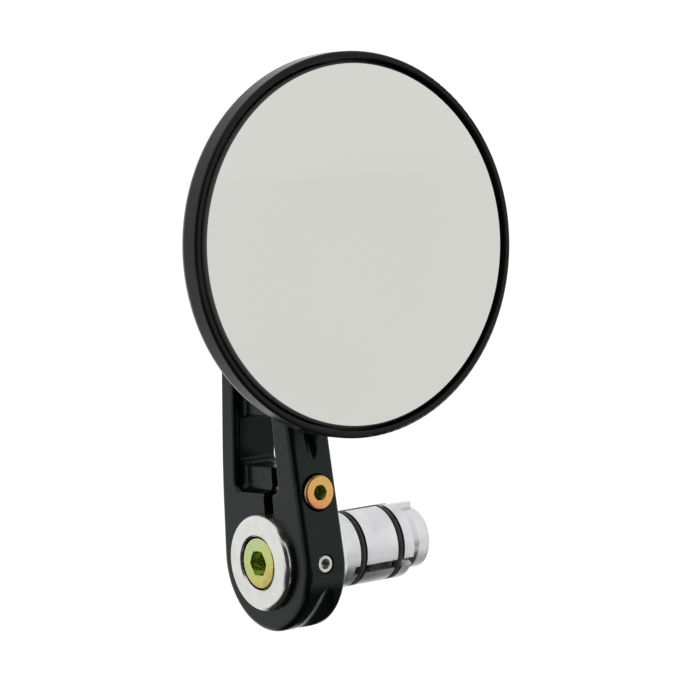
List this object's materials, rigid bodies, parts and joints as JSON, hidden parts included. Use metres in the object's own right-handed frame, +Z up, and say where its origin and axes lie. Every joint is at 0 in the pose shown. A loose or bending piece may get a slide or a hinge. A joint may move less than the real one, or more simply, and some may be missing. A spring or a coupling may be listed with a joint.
{
  "type": "bar-end mirror",
  "caption": "Round bar-end mirror on a tapered clamp arm, with a ball-jointed head and an expander plug that fixes inside a tubular handlebar.",
  "frame": {"origin": "centre of the hub's seat, where it meets the end of the handlebar, on the bar's axis", "axes": "+X runs inboard along the bar, -Y faces the rider, +Z runs up the arm"},
  "size_m": [0.0773, 0.0493, 0.1188],
  "materials": {
    "polished_aluminium": "polished",
    "black_anodised": "satin black anodised",
    "gloss_black": "semi-gloss black anodised",
    "yellow_zinc": "iridescent yellow zinc plate",
    "stainless": "plain stainless steel",
    "spring_steel": "oiled",
    "plain_aluminium": "turned",
    "black_rubber": "matte",
    "acetal": "natural",
    "foam_tape": "closed-cell foam",
    "silvered_glass": "mirror"
  },
  "bodies": {
    "bar_end": {"hub": "polished_aluminium", "anchor_washer": "stainless", "expander_collet": "plain_aluminium", "collet_rings": "black_rubber"},
    "anchor_bolt": {"anchor_bolt": "yellow_zinc"},
    "cone_nut": {"cone_nut": "plain_aluminium"},
    "arm": {"arm": "black_anodised", "stud_washer": "stainless", "stud_locknut": "stainless"},
    "pinch_screw": {"pinch_screw": "yellow_zinc"},
    "set_screw": {"set_screw": "stainless", "set_screw_tip": "acetal"},
    "ball_stud": {"ball_stud": "stainless"},
    "socket_liners": {"socket_liner_rear": "acetal", "socket_liner_front": "acetal"},
    "mirror_head": {"mirror_housing": "gloss_black", "mirror_glass": "silvered_glass", "glass_pad": "foam_tape", "socket_cap": "plain_aluminium", "cap_screws": "stainless", "disc_spring": "spring_steel", "pressure_cup": "plain_aluminium"}
  },
  "joints": [
    {"name": "arm_swing", "type": "hinge", "parent": "bar_end", "child": "arm", "pos_m": [-0.009, 0, 0], "axis": [1, 0, 0], "continuous": true},
    {"name": "anchor_bolt_turn", "type": "hinge", "parent": "bar_end", "child": "anchor_bolt", "pos_m": [0, 0, 0], "axis": [1, 0, 0], "range_deg": [0, 540]},
    {"name": "cone_draw", "type": "slide", "parent": "bar_end", "child": "cone_nut", "axis": [-1, 0, 0], "range_m": [0, 0.0015]},
    {"name": "pinch_screw_turn", "type": "hinge", "parent": "arm", "child": "pinch_screw", "pos_m": [-0.009, 0, 0.0147], "axis": [0, 1, 0], "range_deg": [-180, 0]},
    {"name": "set_screw_turn", "type": "hinge", "parent": "arm", "child": "set_screw", "pos_m": [-0.0092, 0, 0], "axis": [0, 1, 0], "range_deg": [-180, 0]},
    {"name": "mirror_spin", "type": "hinge", "parent": "arm", "child": "ball_stud", "pos_m": [-0.009, -0.0202, 0.0656], "axis": [0, -1, 0], "continuous": true},
    {"name": "mirror_pan", "type": "hinge", "parent": "ball_stud", "child": "socket_liners", "pos_m": [-0.009, -0.0202, 0.0656], "axis": [0, 0, 1], "range_deg": [-15, 15]},
    {"name": "mirror_tilt", "type": "hinge", "parent": "socket_liners", "child": "mirror_head", "pos_m": [-0.009, -0.0202, 0.0656], "axis": [1, 0, 0], "range_deg": [-15, 15]}
  ],
  "couplings": [
    {"joint": "anchor_bolt_turn", "follows": "cone_draw", "rad_per_m": 6283.2}
  ]
}
